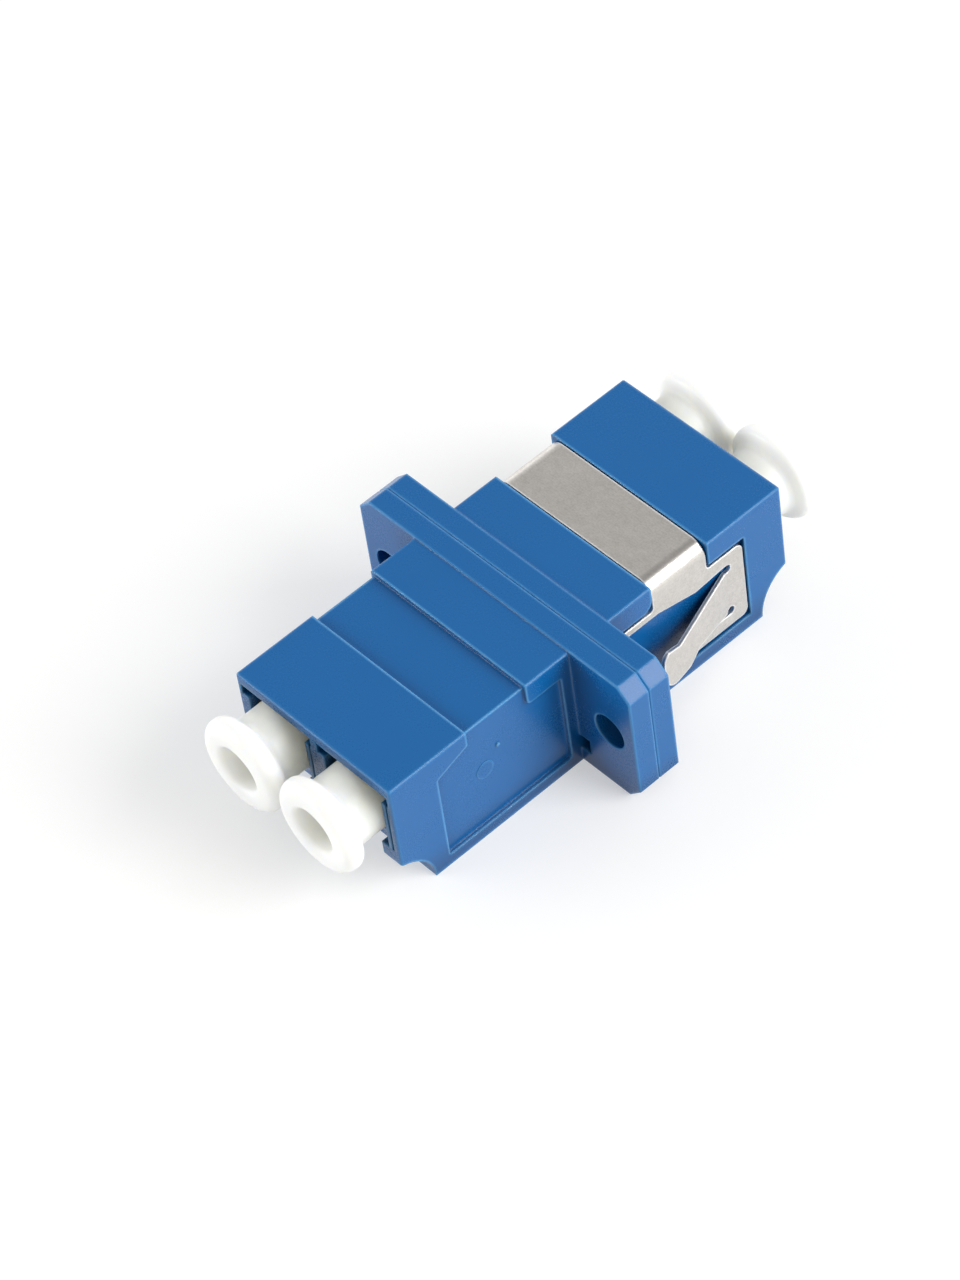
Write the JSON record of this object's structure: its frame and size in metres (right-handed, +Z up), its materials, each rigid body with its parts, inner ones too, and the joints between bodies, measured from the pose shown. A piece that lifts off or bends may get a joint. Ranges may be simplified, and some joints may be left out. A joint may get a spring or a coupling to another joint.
{
  "type": "duplex lc fibre adapter",
  "caption": "Duplex LC fibre adapter with a two-hole screw flange, a folded steel spring clip and pull-out dust plugs in its ports.",
  "frame": {"origin": "on the underside, midway across the width, on the plane where the two housing halves are welded", "axes": "+Z up from the latch side to the side the clip's band lies on, +Y towards the rear ports, the half with the clip, +X to the right when looking into the front ports"},
  "size_m": [0.022, 0.036, 0.0093],
  "materials": {
    "housing_plastic": "satin moulded blue plastic with softly rounded edges",
    "clip_steel": "rolled stainless spring sheet, fine grain across the band",
    "plug_plastic": "soft milky white plastic",
    "sleeve_ceramic": "polished white zirconia ceramic"
  },
  "bodies": {
    "housing": {"front_housing": "housing_plastic", "rear_housing": "housing_plastic", "left_sleeve": "sleeve_ceramic", "right_sleeve": "sleeve_ceramic", "spring_clip": "clip_steel"},
    "front_left_plug": {"front_left_plug": "plug_plastic"},
    "front_right_plug": {"front_right_plug": "plug_plastic"},
    "rear_left_plug": {"rear_left_plug": "plug_plastic"},
    "rear_right_plug": {"rear_right_plug": "plug_plastic"}
  },
  "joints": [
    {"name": "front_left_plug_pull", "type": "slide", "parent": "housing", "child": "front_left_plug", "axis": [0, -1, 0], "range_m": [0, 0.015]},
    {"name": "front_right_plug_pull", "type": "slide", "parent": "housing", "child": "front_right_plug", "axis": [0, -1, 0], "range_m": [0, 0.015]},
    {"name": "rear_left_plug_pull", "type": "slide", "parent": "housing", "child": "rear_left_plug", "axis": [0, 1, 0], "range_m": [0, 0.015]},
    {"name": "rear_right_plug_pull", "type": "slide", "parent": "housing", "child": "rear_right_plug", "axis": [0, 1, 0], "range_m": [0, 0.015]}
  ]
}
